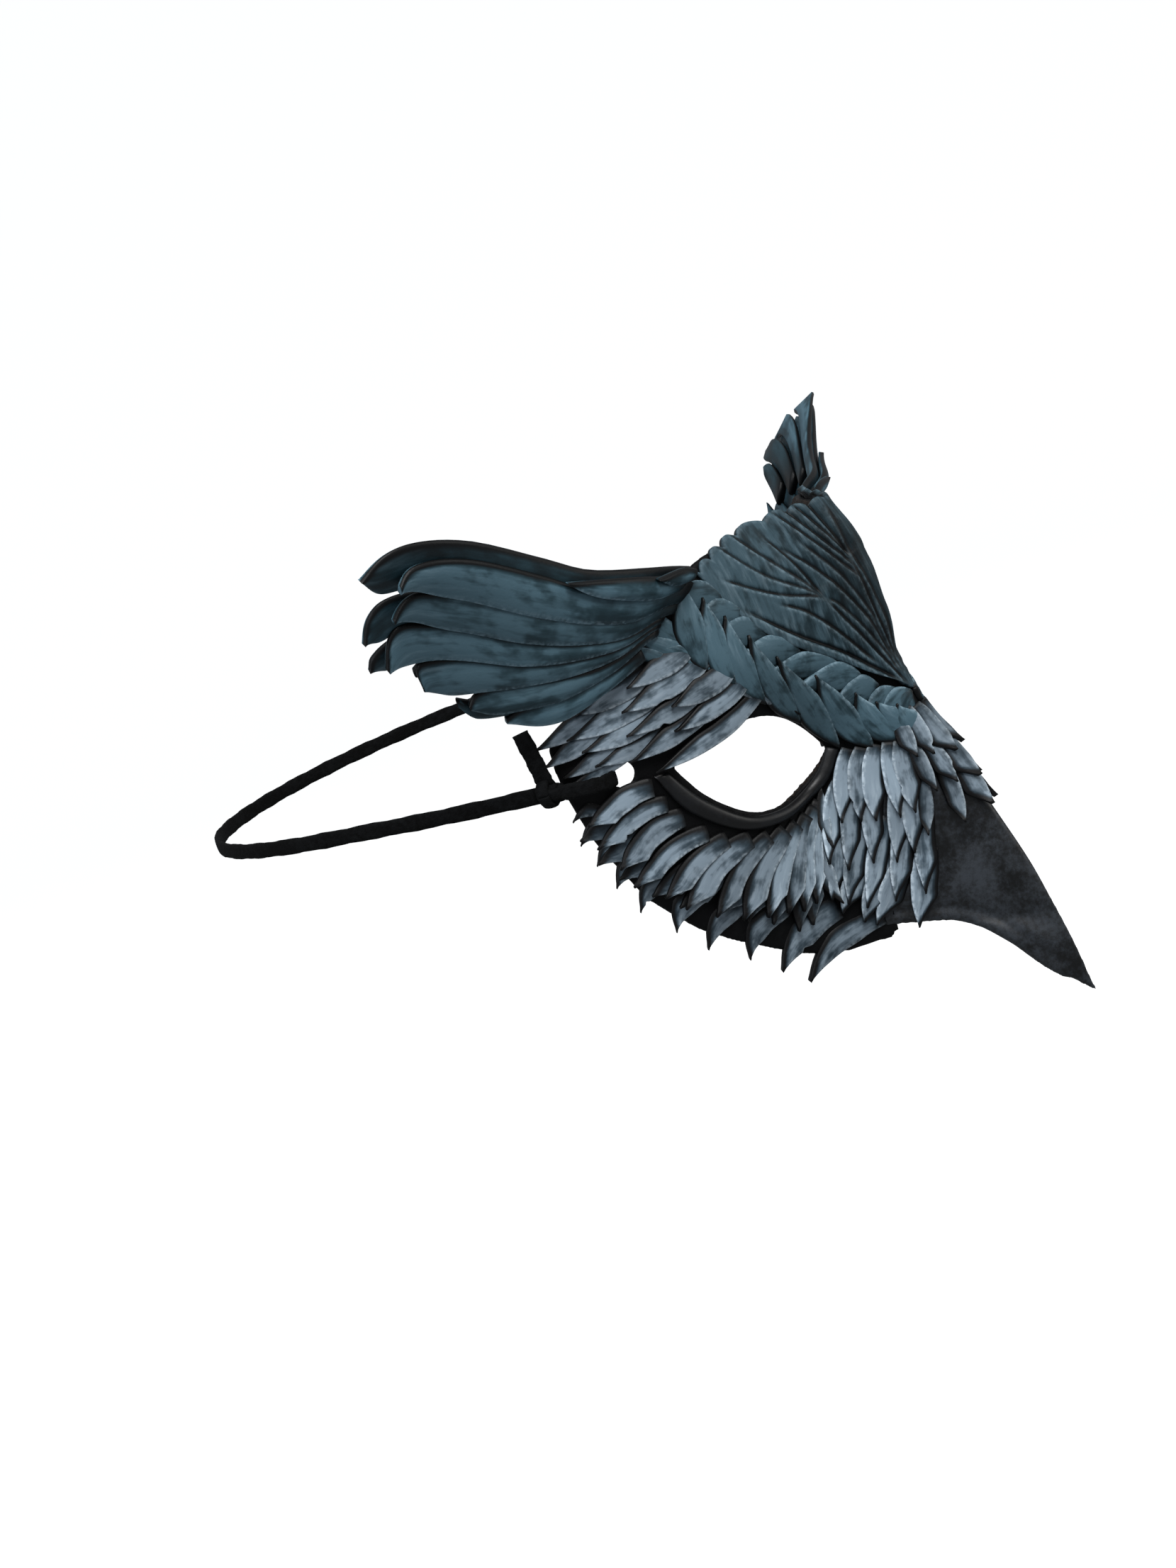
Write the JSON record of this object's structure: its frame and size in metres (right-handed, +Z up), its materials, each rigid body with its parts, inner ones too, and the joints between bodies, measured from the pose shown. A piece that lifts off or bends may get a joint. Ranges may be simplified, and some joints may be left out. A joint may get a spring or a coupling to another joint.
{
  "type": "raven half mask",
  "caption": "Carved leather raven half mask with almond eye holes, flared feather wings, layered cheek feathers, a hollow hooked beak and a lace that ties behind the head.",
  "frame": {"origin": "the middle of the wearer's head, on the line between the two ear openings, as the mask is worn", "axes": "+Z up with the wearer's head level, the mask faces -Y, the wearer's left is +X, the plane X = 0 runs through the ridge of forehead, nose and beak"},
  "size_m": [0.2585, 0.2406, 0.1663],
  "materials": {
    "black_leather": "black dyed leather, low sheen",
    "polished_leather": "black leather rubbed to a satin polish",
    "slate_leather": "carved leather, dry brushed dark slate over black",
    "pale_leather": "carved leather, dry brushed blue grey over black",
    "suede_lace": "flat black suede lace"
  },
  "bodies": {
    "mask": {"face_shell": "black_leather", "beak": "polished_leather", "forehead_fan": "slate_leather", "bridge_feathers": "pale_leather", "brow_band_right": "slate_leather", "brow_band_left": "slate_leather", "temple_feathers_right": "pale_leather", "temple_feathers_left": "pale_leather", "cheek_feathers_right": "pale_leather", "cheek_feathers_left": "pale_leather", "nose_feathers_right": "pale_leather", "nose_feathers_left": "pale_leather", "eye_rim_right": "polished_leather", "eye_rim_left": "polished_leather", "wing_upper_right": "slate_leather", "wing_upper_left": "slate_leather", "wing_lower_right": "slate_leather", "wing_lower_left": "slate_leather", "lace_loop_right": "suede_lace", "lace_loop_left": "suede_lace", "knot_right": "suede_lace", "knot_left": "suede_lace", "lace_tail_right": "suede_lace", "lace_tail_left": "suede_lace"},
    "lace": {"lace": "suede_lace"}
  },
  "joints": [
    {"name": "lace_swing", "type": "hinge", "parent": "mask", "child": "lace", "pos_m": [0, -0.0493, 0.032], "axis": [1, 0, 0], "range_deg": [-70, 15]}
  ]
}
